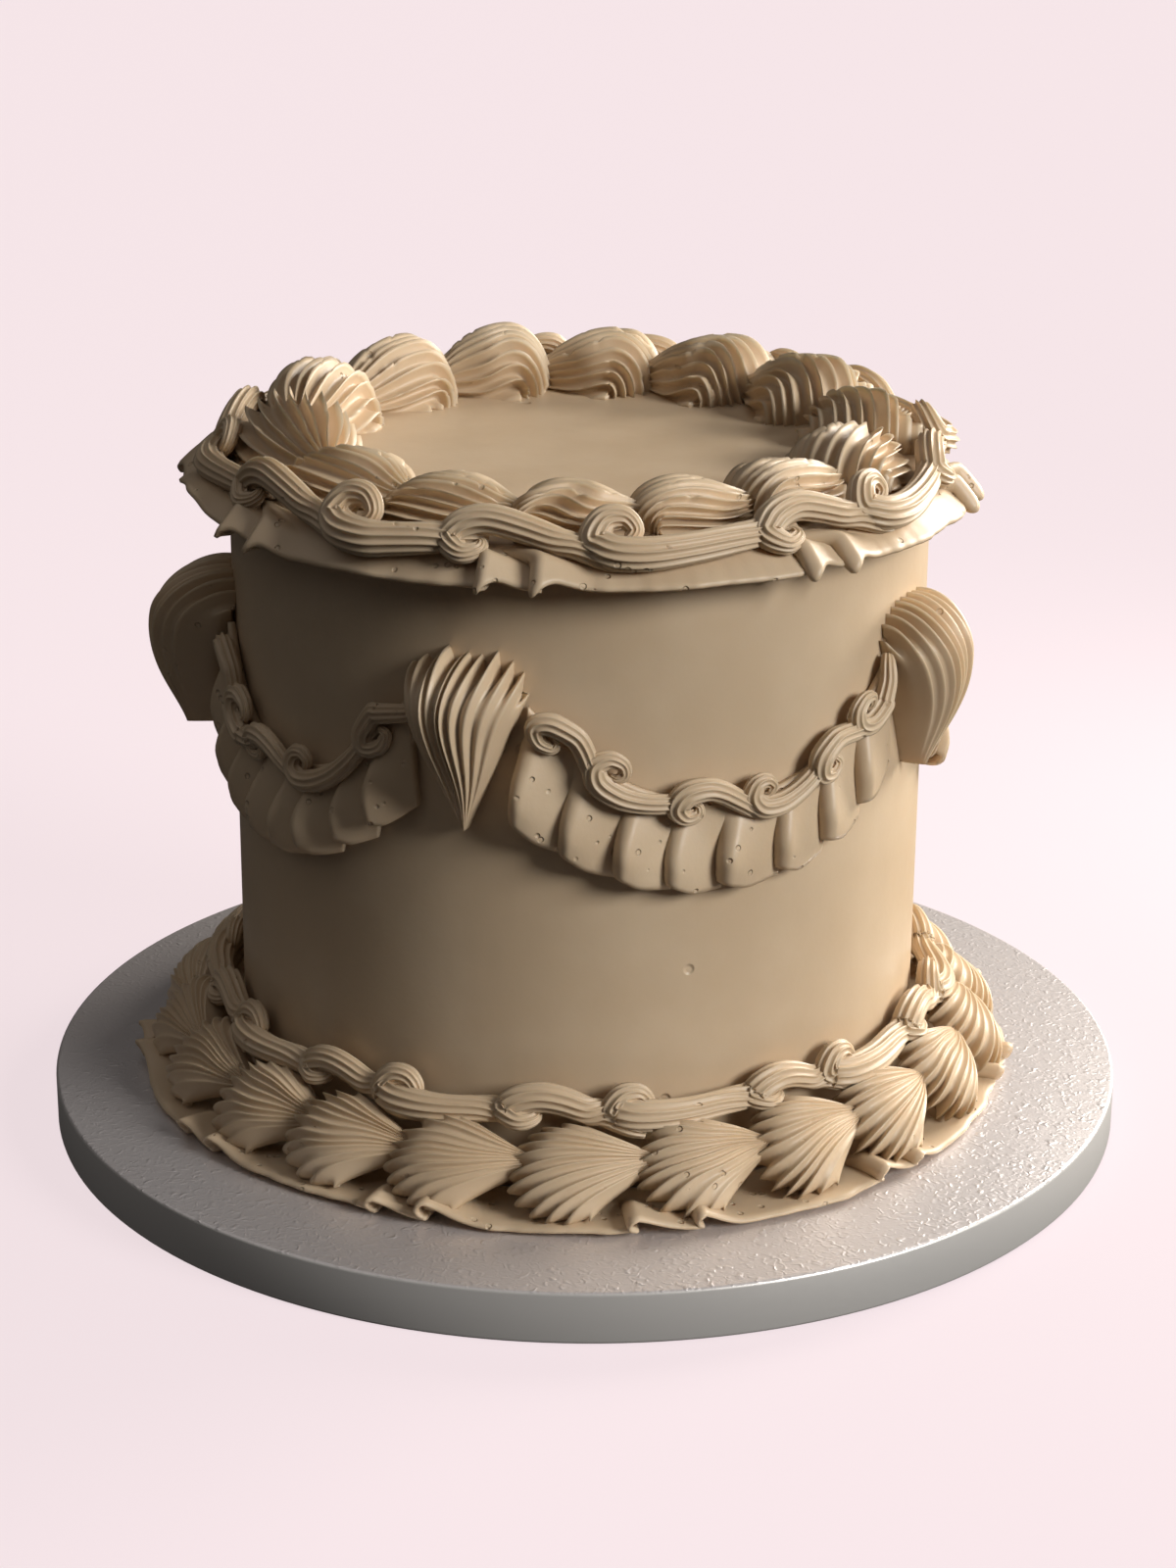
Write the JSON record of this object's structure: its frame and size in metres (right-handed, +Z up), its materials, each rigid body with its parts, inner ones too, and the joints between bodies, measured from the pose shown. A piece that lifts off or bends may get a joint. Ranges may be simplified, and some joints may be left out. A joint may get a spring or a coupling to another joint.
{
  "type": "wedding cake",
  "caption": "Tall round buttercream cake on its foil-covered board, with piped shell borders, scrolls and ruffled swags.",
  "frame": {"origin": "middle of the board's underside, where it rests", "axes": "+Z up the cake, -Y to the side shown at the front of the picture, +X to that side's right"},
  "size_m": [0.254, 0.254, 0.1755],
  "materials": {
    "board_foil": "embossed silver foil",
    "smooth_buttercream": "smoothed beige buttercream, satin",
    "piped_buttercream": "piped beige buttercream, satin"
  },
  "bodies": {
    "root": {"board": "board_foil", "cake": "smooth_buttercream", "top_ruffle": "piped_buttercream", "top_scroll": "piped_buttercream", "base_ruffle": "piped_buttercream", "base_scroll": "piped_buttercream", "top_shell_01": "piped_buttercream", "top_shell_02": "piped_buttercream", "top_shell_03": "piped_buttercream", "top_shell_04": "piped_buttercream", "top_shell_05": "piped_buttercream", "top_shell_06": "piped_buttercream", "top_shell_07": "piped_buttercream", "top_shell_08": "piped_buttercream", "top_shell_09": "piped_buttercream", "top_shell_10": "piped_buttercream", "top_shell_11": "piped_buttercream", "top_shell_12": "piped_buttercream", "top_shell_13": "piped_buttercream", "top_shell_14": "piped_buttercream", "base_shell_01": "piped_buttercream", "base_shell_02": "piped_buttercream", "base_shell_03": "piped_buttercream", "base_shell_04": "piped_buttercream", "base_shell_05": "piped_buttercream", "base_shell_06": "piped_buttercream", "base_shell_07": "piped_buttercream", "base_shell_08": "piped_buttercream", "base_shell_09": "piped_buttercream", "base_shell_10": "piped_buttercream", "base_shell_11": "piped_buttercream", "base_shell_12": "piped_buttercream", "base_shell_13": "piped_buttercream", "base_shell_14": "piped_buttercream", "base_shell_15": "piped_buttercream", "base_shell_16": "piped_buttercream", "base_shell_17": "piped_buttercream", "base_shell_18": "piped_buttercream", "base_shell_19": "piped_buttercream", "base_shell_20": "piped_buttercream", "base_shell_21": "piped_buttercream", "base_shell_22": "piped_buttercream", "drop_shell_1": "piped_buttercream", "drop_shell_2": "piped_buttercream", "drop_shell_3": "piped_buttercream", "drop_shell_4": "piped_buttercream", "drop_shell_5": "piped_buttercream", "swag_ruffle_1": "piped_buttercream", "swag_ruffle_2": "piped_buttercream", "swag_ruffle_3": "piped_buttercream", "swag_ruffle_4": "piped_buttercream", "swag_ruffle_5": "piped_buttercream", "swag_scroll_1": "piped_buttercream", "swag_scroll_2": "piped_buttercream", "swag_scroll_3": "piped_buttercream", "swag_scroll_4": "piped_buttercream", "swag_scroll_5": "piped_buttercream"}
  },
  "joints": []
}
